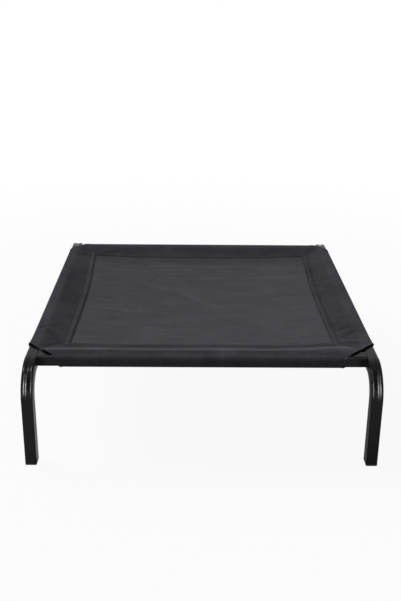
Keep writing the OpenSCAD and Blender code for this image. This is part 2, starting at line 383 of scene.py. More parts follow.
STEEL = powder_coated_steel()
CLOTH = coated_polyester()
MESH = coated_mesh()
THREAD = sewing_thread()
PLASTIC = moulded_plastic()
ZINC = zinc_plate()


# Tubes

# Forms that a press leaves in a bend: depth and half width of the dish along the outer side, how far the
# inner side is drawn in and the flanks bulge, and how far to either side of a bend's ends these fade
DISH = 1.2 * MM
DISH_W = 6 * MM
PUCKER = 0.8 * MM
BULGE = 0.5 * MM
BEND_BLEND = 15 * MM
# Steps of a tube's grid: round a corner and along a side of its section, and along a leg, a bend, half a rail
# and a crossbar
CORNER_STEPS = 8
SIDE_STEPS = 20
LEG_STEPS = 23
BEND_STEPS = 80
RAIL_STEPS = 39
BAR_STEPS = 59


def round_rectangle(half_up, half_across, radius):
    """Points round a rectangle with round corners, counter-clockwise from the right of its top side."""
    flat_up = half_up - radius
    flat_across = half_across - radius
    corners = [
        arc((side * flat_across, rise * flat_up), radius, start, start + 90, CORNER_STEPS)
        for side, rise, start in ((1, 1, 0), (-1, 1, 90), (-1, -1, 180), (1, -1, 270))
    ]
    across, up = [], []
    for (across_here, up_here), (across_next, up_next) in zip(corners, corners[1:] + corners[:1]):
        across += [across_here, np.linspace(across_here[-1], across_next[0], SIDE_STEPS + 1)[1:-1]]
        up += [up_here, np.linspace(up_here[-1], up_next[0], SIDE_STEPS + 1)[1:-1]]
    return np.concatenate(across), np.concatenate(up)


def swept_wall(centre, up, across, half_up, half_across, radius, bend):
    """Grid of one wall of the tube: the section carried along the path.

    Where bend is 1 the section is as a press bends it: the outer side is dished along its middle, the
    inner side is drawn in and the two flanks bulge, each by a cosine squared across that side. The outer and
    inner sides count as far as halfway down their round corners.
    """
    place, rise = round_rectangle(half_up, half_across, radius)
    middle = np.cos(np.clip(place / DISH_W, -1, 1) * math.pi / 2) ** 2
    flank = np.cos(np.clip(rise / half_up, -1, 1) * math.pi / 2) ** 2
    side_from = half_up - radius / 2
    outer = rise > side_from
    inner = rise < -side_from
    pressed_rise = middle * (PUCKER * inner - DISH * outer)
    pressed_place = BULGE * flank * np.sign(place)
    rise = rise + bend[:, None] * pressed_rise
    place = place + bend[:, None] * pressed_place
    return centre[:, None] + rise[..., None] * up[:, None] + place[..., None] * across


def hollow_tube(name, node, centre, up, across, half_up, half_across, bend):
    """Closed tube: the outer wall out along the path and the inner wall back, joined at both ends."""
    outer = swept_wall(centre, up, across, half_up, half_across, TUBE_EDGE, bend)
    inner = swept_wall(centre, up, across, half_up - TUBE_WALL, half_across - TUBE_WALL,
                       TUBE_EDGE - TUBE_WALL, bend)
    wall = np.concatenate([outer, inner[::-1]])
    quads = grid_quads(*wall.shape[:2], wrap_rows=True, wrap_columns=True)
    piece = new_piece(name, wall, quads, STEEL)
    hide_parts(node)


def leg_frame(side, name, node):
    """U of a leg frame in the plane of its tube: up the front leg, round a quarter circle, along the rail.

    The rear half mirrors the front half.
    """
    radius = BEND_R - WIDE / 2
    leg_top = TOP - BEND_R
    rail_start = BEND_R - HALF_D
    leg_z = np.linspace(FOOT, leg_top, LEG_STEPS + 1)[:-1]
    angle = np.linspace(0, math.pi / 2, BEND_STEPS + 1)
    rail_y = np.linspace(rail_start, 0, RAIL_STEPS + 1)[1:]
    turn = np.concatenate([0 * leg_z, angle, 0 * rail_y + math.pi / 2])
    y = rail_start - radius * np.cos(turn)
    z = leg_top + radius * np.sin(turn)
    y[-len(rail_y):] = rail_y
    z[:len(leg_z)] = leg_z
    inside = np.concatenate([leg_z - leg_top, radius * np.minimum(angle, angle[::-1]), rail_start - rail_y])
    bend = smooth_step(0.5 + inside / (2 * BEND_BLEND))
    x = np.full_like(y, side * (HALF_W - THIN / 2))
    centre = np.stack([x, y, z], axis=-1)
    up = np.stack([0 * x, -np.cos(turn), np.sin(turn)], axis=-1)
    mirror = np.array([1, -1, 1])
    centre = np.concatenate([centre, mirror * centre[-2::-1]])
    up = np.concatenate([up, mirror * up[-2::-1]])
    bend = np.concatenate([bend, bend[-2::-1]])
    hollow_tube(name, node, centre, up, np.array([1, 0, 0]), WIDE / 2, THIN / 2, bend)


def crossbar(end, name, node):
    """Straight tube between the rails, with its narrow side upright."""
    x = np.linspace(-BAR_END, BAR_END, BAR_STEPS + 1)
    centre = np.stack([x, 0 * x + end * (BAR_FACE - WIDE / 2), 0 * x + TOP - THIN / 2], axis=-1)
    up = np.tile([0.0, 0.0, 1.0], (len(x), 1))
    hollow_tube(name, node, centre, up, np.array([0, -1, 0]), THIN / 2, WIDE / 2, 0 * x)


for side, word in ((-1, "left"), (1, "right")):
    leg_frame(side, f"{word}_bent_leg_frame", f"{word}_leg_frame")
for end, word in ((-1, "front"), (1, "rear")):
    crossbar(end, f"{word}_square_crossbar", f"{word}_crossbar")


# Sling

# Cloth edge past the mesh opening, and how much and over which width it is pressed thinner
HEM = 1 * MM
HEM_PRESS = 1 * MM
HEM_PRESS_W = 4 * MM
# Stitch rows, measured from the tube's outer side, the padding between them and the grooves along them
STITCH_ROWS = (FOLD + 0.2 * MM, BAND - 1 * MM)
SEAM_PUFF = 0.6 * MM
SEAM_GROOVE = 0.3 * MM
SEAM_GROOVE_W = 1.3 * MM
# Inward bow of a seam in the middle of its length
SEAM_BOW = 2.5 * MM
# Share of the folds on the tube, and the widths over which they set in beside it and end at the seam
TUBE_LOOSE = 0.25
OFF_TUBE_W = 10 * MM
INTO_SEAM_W = 6 * MM
# How far cloth on the tube can be pushed in before it gets thinner
TUBE_ROOM = 0.7 * CLOTH_GAP
# How far inside the tube's inner side the slope starts, on the tube's round edge
SLOPE_INSET = 0.8 * TUBE_EDGE
# Rounding of the slope at the tube and at the fold, and of the two slopes in a corner, in shares of the slope
TUBE_ROUND = 0.017
FOLD_ROUND = 0.06
CORNER_ROUND = 0.12
# How far the gape of a sleeve's end reaches into the sleeve and round the tube
GAPE_REACH = 16 * MM
GAPE_ROUND = 45 * MM
# Bead where a sleeve's end is turned under
END_BEAD = 0.6 * MM
END_BEAD_W = 2 * MM
# Painted highlight line beside a tube's inner edge, where the cloth turns over it: its place and width, and
# how much further than the cloth's own unevenness it wanders
EDGE_HIGHLIGHT = 9 * MM
EDGE_HIGHLIGHT_W = 6 * MM
EDGE_HIGHLIGHT_WANDER = 4
# Towards the border's second end that line leaves the tube: from where, how far and how much wider
EDGE_HIGHLIGHT_STRAY_FROM = 84 * MM
EDGE_HIGHLIGHT_STRAY = 22 * MM
EDGE_HIGHLIGHT_STRAY_W = 4 * MM
# Painted highlight line down the round of a tube's outer side: its place and width
SIDE_HIGHLIGHT = 4.5 * MM
SIDE_HIGHLIGHT_W = 4 * MM
# Width over which the paler top of a tube sets in, partly fading and partly a painted highlight
TOP_FADE_AND_HIGHLIGHT_W = 16 * MM
# Shares by which the cloth is painted paler on its turned ends, a painted highlight, and per millimetre of
# fold or slack, as painted shading: paler where they rise and darker where they sink
END_HIGHLIGHT = 0.35
FOLD_PAINTED_SHADING = 0.25
# Strength of the painted highlight down the side beside the one at the inner edge, and how much darker its
# bottom is painted, as painted shade
SIDE_PALE = 0.9
SIDE_DARK = 0.22


@dataclass
class PaintedLightAndFade:
    """Shares by which parts of a border differ from its plain cloth.

    It is paler with painted highlights on the lines by the tube's edges and on the seam's padding, paler on
    the tube's top, partly faded and partly a painted highlight, and darker with painted shade along the
    stitch rows.
    """
    edge: float
    padding: float
    rows: float
    top: float


@dataclass
class Border:
    """One border sleeve of the sling, drawn at the front and carried to its side by quarter turns about Z.

    Along its tube runs u; across it s runs inwards from the tube's outer side, which is face from the
    middle. The tube is tube_w wide and tube_h high, and the crossing tubes are cross_w wide. Their outer
    sides are at u = -reach and reach, and its own tube ends at stop. At its two ends, cuts are the legs of
    the corner cuts, falls how much the cloth's end falls back per length down the tube's side, and gapes how
    far the cloth stands off at the tube's outer edge, along its middle and at its inner edge.
    """
    word: str
    tube: str
    turns: int
    tube_w: float
    tube_h: float
    face: float
    cross_w: float
    reach: float
    stop: float
    cuts: tuple
    falls: tuple
    gapes: tuple
    wear: PaintedLightAndFade

    def place(self, u, s, z):
        """Points at u, s and height z, in the cot's frame."""
        u, s, z = np.broadcast_arrays(u, s, z)
        across = s - self.face
        cos, sin = ((1, 0), (0, 1), (-1, 0), (0, -1))[self.turns]
        return np.stack([u * cos - across * sin, u * sin + across * cos, z], axis=-1)


def slope_share(s, tube_w):
    """Share of the slope from the tube's inner top edge, 0, to the fold at the seam, 1."""
    start = tube_w - SLOPE_INSET
    return (s - start) / (FOLD - start)


def border_height(border, u, s):
    """Height of the border's top: level on the tube, a ramp down to the fold, level on the seam.

    The smaller share of the two borders that meet in a corner counts, with a smooth minimum, so the
    corner is hollow without a crease.
    """
    own = slope_share(s, border.tube_w)
    cross = slope_share(border.reach - np.abs(u), border.cross_w)
    share = -CORNER_ROUND * np.logaddexp(-own / CORNER_ROUND, -cross / CORNER_ROUND)
    ramp = (TUBE_ROUND * np.logaddexp(0, share / TUBE_ROUND)
            - FOLD_ROUND * np.logaddexp(0, (share - 1) / FOLD_ROUND))
    return CLOTH_TOP - (CLOTH_TOP - SEAM_TOP) * ramp


def padding(s):
    """Padding between the two stitch rows of a seam: a half sine."""
    outer_row, inner_row = STITCH_ROWS
    return np.sin(math.pi * np.clip((s - outer_row) / (inner_row - outer_row), 0, 1))


def stitch_grooves(s):
    """Narrow groove along each stitch row: a bell curve across it."""
    return sum(bell(s - row, SEAM_GROOVE_W) for row in STITCH_ROWS)


def seam_relief(s):
    """Rise of the seam's cloth: its padding less its two grooves, and less the press along the hem's edge."""
    pressed = HEM_PRESS * smooth_step((s - BAND - HEM) / HEM_PRESS_W + 1)
    return SEAM_PUFF * padding(s) - SEAM_GROOVE * stitch_grooves(s) - pressed


def looseness(border, s):
    """Share of the folds that shows: TUBE_LOOSE on the tube, all on the slope and none in the sewn seam."""
    off_tube = smooth_step((s - border.tube_w) / OFF_TUBE_W)
    in_seam = smooth_step((s - FOLD) / INTO_SEAM_W + 1)
    return (TUBE_LOOSE + (1 - TUBE_LOOSE) * off_tube) * (1 - in_seam)


def room_below(border, s):
    """How far the cloth can be pushed in before it meets the tube or the mesh; free on the slope.

    It counts as on the mesh from where the groove of the outer stitch row starts.
    """
    on_mesh = s > FOLD - 2 * SEAM_GROOVE_W
    return np.where(on_mesh, 0, np.where(s < border.tube_w, TUBE_ROOM, CLOTH_T))


def slope_run(s, tube_w):
    """Share of the way in plan from the tube's inner side to the fold."""
    return (s - tube_w) / (FOLD - tube_w)


def seam_bow(border, u, s):
    """Shift inwards of a seam that the mesh pulls: a parabola along it, faded out towards the tube."""
    pull = np.maximum(0, 1 - (u / (border.reach - BAND)) ** 2)
    return SEAM_BOW * pull * smooth_step(slope_run(s, border.tube_w))


def end_line(border, s, cut):
    """Length of the border on one side of its middle: up to the corner cut or the mitre, whichever is first.

    The cut is at 45 degrees. The mitre runs from the inner corner of the tubes to the folds' corner, then on
    at 45 degrees through the seam. On its tube the cloth ends at the cut or where the tube stops.
    """
    to_cut = border.reach - cut + s
    run = (border.reach - border.cross_w) - slope_run(s, border.tube_w) * (FOLD - border.cross_w)
    mitre = np.where(s < FOLD, run, border.reach - s)
    return np.minimum(to_cut, np.where(s < border.tube_w, border.stop, mitre))


def bowl(x, y):
    """Share of the mesh's sag: the bowl (1 - x^2)(1 - y^2) over its opening, 0 outside."""
    return np.maximum(0, 1 - (x / MESH_X) ** 2) * np.maximum(0, 1 - (y / MESH_Y) ** 2)


# How far the sling is drawn outwards and up at each corner of the mesh, by side and end
CORNER_DRAW = {
    (-1, -1): (0 * MM, 3 * MM),
    (1, -1): (0 * MM, 5 * MM),
    (-1, 1): (6 * MM, 3.5 * MM),
    (1, 1): (5 * MM, 3.5 * MM),
}
# How far that reaches along X and Y
DRAW_REACH_X = 60 * MM
DRAW_REACH_Y = 140 * MM


def corner_draw(x, y):
    """Shift of the sling at the corners of the mesh, which hang on two tubes: a bell round each corner.

    It fades out in a straight line from the folds to the tubes.
    """
    loose_x = np.clip((HALF_W - np.abs(x) - THIN) / (FOLD - THIN), 0, 1)
    loose_y = np.clip((BAR_FACE - np.abs(y) - WIDE) / (FOLD - WIDE), 0, 1)
    shift = 0
    for (side, end), (outwards, up) in CORNER_DRAW.items():
        near = bell(x - side * MESH_X, DRAW_REACH_X) * bell(y - end * MESH_Y, DRAW_REACH_Y)
        shift = shift + (loose_x * loose_y * near)[..., None] * np.array([side * outwards, 0, up])
    return shift


def hang(points, flat):
    """Points of a sewn border let down by the mesh's sag, and shifted by corner_draw at their flat places."""
    sag = MESH_SAG * bowl(points[..., 0], points[..., 1])
    return points - sag[..., None] * np.array([0, 0, 1]) + corner_draw(flat[..., 0], flat[..., 1])


# Tension folds of the cloth in plan: from, to, height and width of each, in millimetres. Their heights also
# set the painted shading of the cloth's colour, and the two of height -2.0 are mostly dark marks of painted
# shade where the cloth is nipped
FOLDS = (
    ((240, -244), (306, -250), 1.2, 6),
    ((250, -233), (298, -191), -1.1, 3),
    ((252, -213), (288, -186), 0.5, 4),
    ((242, -201), (288, -170), -0.9, 3),
    ((256, -140), (292, -128), -0.5, 5),
    ((-244, -250), (-290, -282), -0.8, 4),
    ((-246, -260), (-290, -196), -1.0, 3.5),
    ((-256, -210), (-290, -190), 0.5, 5),
    ((-246, 262), (-284, 290), -1.0, 4),
    ((-254, 248), (-290, 246), -0.8, 5),
    ((246, 262), (284, 286), -0.8, 4),
    ((252, 240), (290, 236), 0.6, 5),
    ((-248, 250), (-176, 282), -1.0, 4),
    ((224, 250), (256, 262), -1.0, 4),
    ((-312, -195), (-286, -194), -2.0, 3),
    ((312, 193), (288, 192), -2.0, 3),
    ((-170, -304), (-120, -282), -0.5, 5),
    ((20, -300), (60, -284), -0.4, 5),
    ((180, -308), (214, -288), -0.6, 5),
    ((-198, -324), (-188, -288), -1.0, 4),
    ((146, -314), (162, -300), 1.2, 2),
    ((80, -312), (100, -307), 1.0, 2),
)
# Share of a fold's length over which it fades out at each end
FOLD_FADE = 0.3
# Slow unevenness of stretched cloth: height of a wave, then per wave its length along X and Y for one radian
# and its phase
SLACK = 0.15 * MM
SLACK_WAVES = (
    (31 * MM, 47 * MM, 0.0),
    (67 * MM, -23 * MM, 1.3),
    (17 * MM, 89 * MM, 2.1),
)


def fold_relief(x, y, folds):
    """Sum of folds in plan: each a bell across its line that fades out near the line's two ends."""
    relief = np.zeros(np.broadcast_shapes(np.shape(x), np.shape(y)))
    for start, end, height, width in folds:
        start, end = np.array(start) * MM, np.array(end) * MM
        length = np.linalg.norm(end - start)
        along_x, along_y = (end - start) / length
        along = (x - start[0]) * along_x + (y - start[1]) * along_y
        beside = (y - start[1]) * along_x - (x - start[0]) * along_y
        fade_length = FOLD_FADE * length
        fade = smooth_step(along / fade_length) * smooth_step((length - along) / fade_length)
        relief += height * MM * bell(beside, width * MM) * fade
    return relief


def slack(x, y):
    """Slow unevenness of stretched cloth: the sum of crossed sine waves of unlike length."""
    return SLACK * sum(np.sin(x / along_x + y / along_y + phase) for along_x, along_y, phase in SLACK_WAVES)


# Steps of a sleeve's grid across its border: on the seam, on the slope and on the tube's top, round an edge
# and along a side of the tube, and on the seam below
SEAM_STEPS = 33
SLOPE_STEPS = 13
TOP_STEPS = 17
EDGE_STEPS = 8
FLAT_STEPS = 7
UNDER_SEAM_STEPS = 23
# How far onto the slope the finer steps of the seam and of the tube's top reach
SEAM_MARGIN = 4 * MM
TUBE_MARGIN = 3 * MM
# Steps along it: how many within which share of its length at each end, crowded by which power, and how many
# between
END_STEPS = 14
END_SHARE = 0.035
END_CROWDING = 1.5
MIDDLE_STEPS = 179


def wrap_profile(border):
    """The cloth's path across a border, as s and z: over the top, round the tube and back below.

    The top is level or sloping as border_height has it far from the corners. Round the tube it is the
    tube's own outline, CLOTH_OUT further out. Below, it leaves the tube along the tangent to the fold. The
    number of points on top comes with it.
    """
    radius = TUBE_EDGE + CLOTH_OUT
    inset = border.tube_w - TUBE_EDGE
    low = TOP - border.tube_h + TUBE_EDGE
    high = TOP - TUBE_EDGE
    hem = BAND + HEM
    before_fold = FOLD - SEAM_MARGIN
    off_tube = border.tube_w + TUBE_MARGIN
    top_s = np.concatenate([
        np.linspace(hem, before_fold, SEAM_STEPS + 1),
        np.linspace(before_fold, off_tube, SLOPE_STEPS + 1)[1:],
        np.linspace(off_tube, TUBE_EDGE, TOP_STEPS + 1)[1:-1],
    ])
    top_z = border_height(border, 0.0, top_s)
    run, rise = FOLD - inset, SEAM_LOW - low
    leave = math.degrees(math.atan2(rise, run) - math.acos(radius / math.hypot(run, rise)))
    outer_s, outer_z = arc((TUBE_EDGE, high), radius, 90, 180, EDGE_STEPS)
    lower_s, lower_z = arc((TUBE_EDGE, low), radius, 180, 270, EDGE_STEPS)
    inner_s, inner_z = arc((inset, low), radius, 270, 360 + leave, EDGE_STEPS // 2)
    side = np.linspace(0, 1, FLAT_STEPS + 1)[1:-1]
    under = np.linspace(TUBE_EDGE, inset, FLAT_STEPS + 1)[1:-1]
    below = np.linspace(0, 1, SLOPE_STEPS + 1)[1:]
    seam = np.linspace(FOLD, hem, UNDER_SEAM_STEPS + 1)[1:]
    s = np.concatenate([
        top_s, outer_s, outer_s[-1] + 0 * side, lower_s, under, inner_s,
        inner_s[-1] + (FOLD - inner_s[-1]) * below, seam,
    ])
    z = np.concatenate([
        top_z, outer_z, high + (low - high) * side, lower_z, low - radius + 0 * under, inner_z,
        inner_z[-1] + (SEAM_LOW - inner_z[-1]) * below, SEAM_LOW + 0 * seam,
    ])
    return s, z, len(top_s)


def shares_along():
    """Shares of a sleeve's length at which its grid has points: by a power near the ends, even between."""
    near_end = END_SHARE * np.linspace(0, 1, END_STEPS + 1) ** END_CROWDING
    between = np.linspace(near_end[-1], 1 - near_end[-1], MIDDLE_STEPS + 1)[1:-1]
    return np.concatenate([near_end, between, 1 - near_end[::-1]])


def gape(border, share, s, wrapped, amounts):
    """How far the end of a sleeve stands off its tube, along the surface's outward direction.

    Across the tube it is the parabola through the amounts at the outer edge, the middle and the inner edge.
    It fades out towards the fold, and with the distance wrapped round the tube.
    """
    outer, middle, inner = amounts
    across = (outer * (1 - share) * (1 - 2 * share) + middle * 4 * share * (1 - share)
              + inner * share * (2 * share - 1))
    to_fold = smooth_step(slope_run(s, border.tube_w))
    return across * (1 - to_fold) * (1 - smooth_step(wrapped / GAPE_ROUND))


def border_tone(border, u, s, on_top, wrapped, from_ends, relief):
    """How pale or dark the border is painted: painted highlights by the tube's edges, on the seam's padding
    and on the turned ends, and painted shading of the folds and slack, paler on their rises and darker in
    hollows.

    Along the stitch rows the cloth is drawn in and darkened with painted shade. It is paler on top of the
    tube, partly faded and partly a painted highlight, and down its side it has a painted highlight line and
    is darkened towards the bottom with painted shade.
    """
    wear = border.wear
    stray = np.clip((u - EDGE_HIGHLIGHT_STRAY_FROM) / (border.reach - EDGE_HIGHLIGHT_STRAY_FROM), 0, 1) ** 2
    line = border.tube_w + EDGE_HIGHLIGHT + EDGE_HIGHLIGHT_STRAY * stray + EDGE_HIGHLIGHT_WANDER * slack(u, s)
    # Painted highlight beside the tube's inner edge, where the cloth turns over it
    edge = wear.edge * bell(s - line, EDGE_HIGHLIGHT_W + EDGE_HIGHLIGHT_STRAY_W * stray)
    # Painted highlight on the seam's padding and painted shade along the stitch rows
    seam = wear.padding * padding(s) - wear.rows * stitch_grooves(s)
    # Paler top of the tube: partly fading, partly a painted highlight
    top_fade_and_highlight = wear.top * smooth_step(0.5 + (border.tube_w - s) / TOP_FADE_AND_HIGHLIGHT_W)
    # Folds and slack as painted shading: paler where they rise, darker where they sink
    top = 1 + edge + seam + top_fade_and_highlight + FOLD_PAINTED_SHADING * relief / MM
    # Painted highlight down the round of the tube's outer side, and painted shade towards that side's bottom
    side_highlight = wear.edge * SIDE_PALE * bell(wrapped - SIDE_HIGHLIGHT, SIDE_HIGHLIGHT_W)
    side = (1 + wear.top + side_highlight) * (1 - SIDE_DARK * smooth_step(wrapped / border.tube_h))
    # Painted highlight on the turned ends' beads
    ends = END_HIGHLIGHT * sum(bell(gap, END_BEAD_W) for gap in from_ends)
    return np.where(on_top, top, side) + ends


def sleeve(border):
    """Border sleeve: the wrapped profile carried along u between its two end lines.

    Its top follows border_height, the folds and the seam's relief, and its hem the sag of the mesh. Past the
    tube's outer edge the end line falls back with the distance round the tube. Near its ends the cloth gapes
    and has a turned bead. Where it is pushed in further than there is room, it gets thinner.
    """
    s, z, top_rows = wrap_profile(border)
    step_s, step_z = np.gradient(s), np.gradient(z)
    size = np.hypot(step_s, step_z)
    out_s, out_z = (step_z / size)[:, None], (-step_s / size)[:, None]
    travel = np.concatenate([[0], np.cumsum(np.hypot(np.diff(s), np.diff(z)))])
    wrapped = np.maximum(0, travel - travel[top_rows])
    ends = [end_line(border, s, cut) - fall * np.minimum(wrapped, border.tube_h)
            for cut, fall in zip(border.cuts, border.falls)]
    length = ends[0] + ends[1]
    u = -ends[0][:, None] + length[:, None] * shares_along()
    on_top = (np.arange(len(s)) < top_rows)[:, None]
    s, z, wrapped = s[:, None], z[:, None], wrapped[:, None]

    share = np.where(on_top, np.clip(s / border.tube_w, 0, 1), 0)
    from_ends = [np.abs(u - side * end[:, None]) for side, end in zip((-1, 1), ends)]
    lift = sum(gape(border, share, s, wrapped, amounts) * np.exp(-gap / GAPE_REACH)
               for gap, amounts in zip(from_ends, border.gapes))
    bead = END_BEAD * sum(bell(gap - END_BEAD_W / 2, END_BEAD_W) for gap in from_ends) * (s < border.tube_w)

    flat = border.place(u, s, z)
    relief = fold_relief(flat[..., 0], flat[..., 1], FOLDS) + slack(flat[..., 0], flat[..., 1])
    out = lift + bead + seam_relief(s) + np.where(on_top, looseness(border, s) * relief, 0)
    thickness = CLOTH_T + np.minimum(0, out + room_below(border, s))
    height = np.where(on_top, border_height(border, u, s), z)
    outer = hang(border.place(u, s + out * out_s + seam_bow(border, u, s), height + out * out_z), flat)
    uv = np.stack(np.broadcast_arrays(u, travel[:, None]), axis=-1)
    tone = border_tone(border, u, s, on_top, wrapped, from_ends, relief)
    piece = cloth_piece(f"{border.word}_border_sleeve", outer, thickness, CLOTH, uv, tone)
    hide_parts(f"{border.word}_sleeve")
    area = np.sum(np.diff(travel) * (length[1:] + length[:-1]) / 2)
    return piece, (travel[-1], length.max()), area


# Stitches

# Spacing, length and rise of the stitches, and how far from a row's end they stop
STITCH_PITCH = 4.6 * MM
STITCH_LENGTH = 3.6 * MM
STITCH_RISE = 0.35 * MM
STITCH_MARGIN = 2 * MM
# Radius of the thread, its share at each ring of a stitch, the sides of a ring and the quads that close it
THREAD_R = 0.4 * MM
THREAD_TAPER = (0.5, 0.95, 1, 0.95, 0.5)
THREAD_SIDES = 6
THREAD_CAP = ((0, 1, 2, 3), (0, 3, 4, 5))


def stitches(border):
    """Lock stitches in both rows, above and below: short thread bows that follow the sewn cloth.

    A stitch runs straight along its row while its height is a half sine, so its two ends dip into the cloth.
    """
    rings = len(THREAD_TAPER)
    along = np.linspace(-0.5, 0.5, rings)
    angle = np.arange(THREAD_SIDES) * 2 * math.pi / THREAD_SIDES
    thick = THREAD_R * np.array(THREAD_TAPER)[:, None]
    rise = STITCH_RISE * np.cos(math.pi * along)[:, None] + thick * np.sin(angle)
    blocks = []
    for row in STITCH_ROWS:
        reach = border.reach - row - STITCH_MARGIN
        count = int(2 * reach / STITCH_PITCH)
        middle = (np.arange(count) + 0.5) / count * 2 * reach - reach
        u = middle[:, None, None] + (along * STITCH_LENGTH)[:, None] + 0 * angle
        s = row + thick * np.cos(angle) + seam_bow(border, u, row)
        flat = border.place(u, row, 0.0)
        stands = rise + seam_relief(np.array(row))
        above = hang(border.place(u, s, border_height(border, u, row) + stands), flat)
        below = hang(border.place(u, s, SEAM_LOW - stands), flat)
        blocks += [above, below[:, ::-1]]
    points = np.concatenate(blocks)
    body = grid_quads(rings, THREAD_SIDES, wrap_columns=True)
    cap = np.array(THREAD_CAP)
    last_ring = (rings - 1) * THREAD_SIDES
    stitch = np.concatenate([body, cap, cap[:, ::-1] + last_ring])
    first = np.arange(len(points)) * rings * THREAD_SIDES
    quads = (stitch + first[:, None, None]).reshape(-1, 4)
    return new_piece(f"{border.word}_stitching", points, quads, THREAD)


# Corner cuts of the cloth along the tubes, by corner
CUT = {"front_left": 48 * MM, "front_right": 53 * MM, "rear_left": 38 * MM, "rear_right": 34 * MM}
# Gape of a sleeve's end at the tube's outer edge, middle and inner edge: on a bar the cloth arches between
# the edges, on a rail its outer edge stands up, and at the front right both stand off in one sweep
BAR_GAPE = (0, 2.6 * MM, 0)
RAIL_GAPE = (2 * MM, 1.8 * MM, 0)
BAR_SWEEP = (0, 1.6 * MM, 2 * MM)
RAIL_SWEEP = (1.5 * MM, 1.8 * MM, 2 * MM)
REAR_GAPE = (0, 1.2 * MM, 0)
# Fall of a sleeve's end down its tube's side, the one at the front right being steeper
FALL = 0.65
STEEP_FALL = 0.4


def bar_border(word, turns, **ends):
    """Border round a crossbar, which stops at the rails."""
    return Border(word, f"{word}_square_crossbar", turns, tube_w=WIDE, tube_h=THIN, face=BAR_FACE,
                  cross_w=THIN, reach=HALF_W, stop=BAR_END, **ends)


def rail_border(word, turns, **ends):
    """Border round a rail, which runs on past the crossbars."""
    return Border(word, f"{word}_bent_leg_frame", turns, tube_w=THIN, tube_h=WIDE, face=HALF_W,
                  cross_w=WIDE, reach=BAR_FACE, stop=HALF_D, **ends)


# Each border's shares of painted light: highlights by the edges and on the padding, shade along the rows, and
# a paler top, partly faded and partly a painted highlight
BORDERS = (
    bar_border("front", 0, cuts=(CUT["front_left"], CUT["front_right"]), falls=(FALL, STEEP_FALL),
               gapes=(BAR_GAPE, BAR_SWEEP), wear=PaintedLightAndFade(edge=0.95, padding=0.1, rows=0.3, top=0.0)),
    rail_border("right", 1, cuts=(CUT["front_right"], CUT["rear_right"]), falls=(FALL, FALL),
                gapes=(RAIL_SWEEP, REAR_GAPE), wear=PaintedLightAndFade(edge=0, padding=0.12, rows=0.3, top=0.22)),
    bar_border("rear", 2, cuts=(CUT["rear_right"], CUT["rear_left"]), falls=(FALL, FALL),
               gapes=(REAR_GAPE, REAR_GAPE), wear=PaintedLightAndFade(edge=0, padding=0, rows=0, top=0.1)),
    rail_border("left", 3, cuts=(CUT["rear_left"], CUT["front_left"]), falls=(FALL, FALL),
                gapes=(REAR_GAPE, RAIL_GAPE), wear=PaintedLightAndFade(edge=0, padding=0.2, rows=0, top=0.22)),
)

for border in BORDERS:
    piece, flat, area = sleeve(border)
    stitches(border)

# Mesh

# Steps of its grid along X and Y
MESH_STEPS_X = 200
MESH_STEPS_Y = 210
# Creases from its packing, in plan: from, to, height and width of each, in millimetres
CREASES = (
    ((-124, 91), (0, 16), 0.4, 4),
    ((-60, 58), (64, -70), 0.5, 8),
    ((-50, 60), (78, -140), 0.3, 5),
    ((-150, 117), (232, 124), 0.7, 4),
    ((50, 27), (236, 30), 0.6, 4),
    ((-190, 192), (236, 193), 0.5, 7),
    ((-210, -60), (-110, -84), 0.5, 6),
)
# Share of the sag over which creases set in beside the hems
MESH_LOOSE_SAG = 0.1
# Share by which the mesh is painted paler per millimetre of crease, a painted highlight along the creases
CREASE_HIGHLIGHT = 0.25
# Share by which it is painted darker at its rear seam, as painted shade, and how far that reaches
REAR_SEAM_SHADE = 0.22
REAR_SEAM_SHADE_REACH = 80 * MM


def mesh_panel():
    """Mesh panel: a shallow bowl over its opening, level in the seams, with creases inside the hems.

    It is painted paler along the creases, a painted highlight, and darker towards the rear seam, painted
    shade.
    """
    x = np.linspace(mesh_low.x, mesh_high.x, MESH_STEPS_X + 1)[:, None]
    y = np.linspace(mesh_low.y, mesh_high.y, MESH_STEPS_Y + 1)[None, :]
    sag = bowl(x, y)
    # Share of the sag at the edge of a bowed hem: up to there the mesh lies smooth under the cloth
    hem_sag = 1 - (1 - (HEM + SEAM_BOW) / MESH_X) ** 2
    loose = smooth_step((sag - hem_sag) / MESH_LOOSE_SAG)
    crease = loose * fold_relief(x, y, CREASES)
    z = SEAM_Z + MESH_T / 2 - MESH_SAG * sag + crease + loose * slack(x, y)
    top = np.stack(np.broadcast_arrays(x, y, z), axis=-1) + corner_draw(x, y)
    # Painted highlight along the creases and painted shade towards the rear seam
    tone = 1 + CREASE_HIGHLIGHT * crease / MM - REAR_SEAM_SHADE * (1 - smooth_step((MESH_Y - y) / REAR_SEAM_SHADE_REACH))
    piece = cloth_piece("sling_mesh_panel", top, MESH_T, MESH, top[..., :2], tone)
    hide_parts("mesh_panel")
    return piece


mesh_panel()

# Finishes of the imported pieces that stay

FINISHES = {"moulded_cap": PLASTIC, "zinc_plated_steel": ZINC, "powder_coated_tube": STEEL}
for part in frame["record"]["subparts"]:
    finish = FINISHES.get(part["material_slot"])
    if finish:
        for material_slot in frame["nodes"][part["node"]].material_slots:
            material_slot.material = finish

# Stage: pale floor, white surroundings and soft light

scene = bpy.context.scene
scene.view_settings.view_transform = "Standard"

# Half of the floor's side, far enough for it to meet the horizon
FLOOR_HALF = 60.0
# Share of plain white in the floor as the camera sees it near the cot, the distances from the cot over which
# it grows to all white, and its share in reflections
WHITE_SEEN = 0.93
WHITE_FROM = 0.6
WHITE_FULL = 2.0
WHITE_MIRRORED = 0.1
# Angles over the horizon at which the white walls end and the ceiling starts, and how bright the ceiling is
# at the front and the rear
WALL_TOP = math.radians(5)
CEILING = math.radians(22)
CEILING_FRONT = 0.08
CEILING_REAR = 0.55


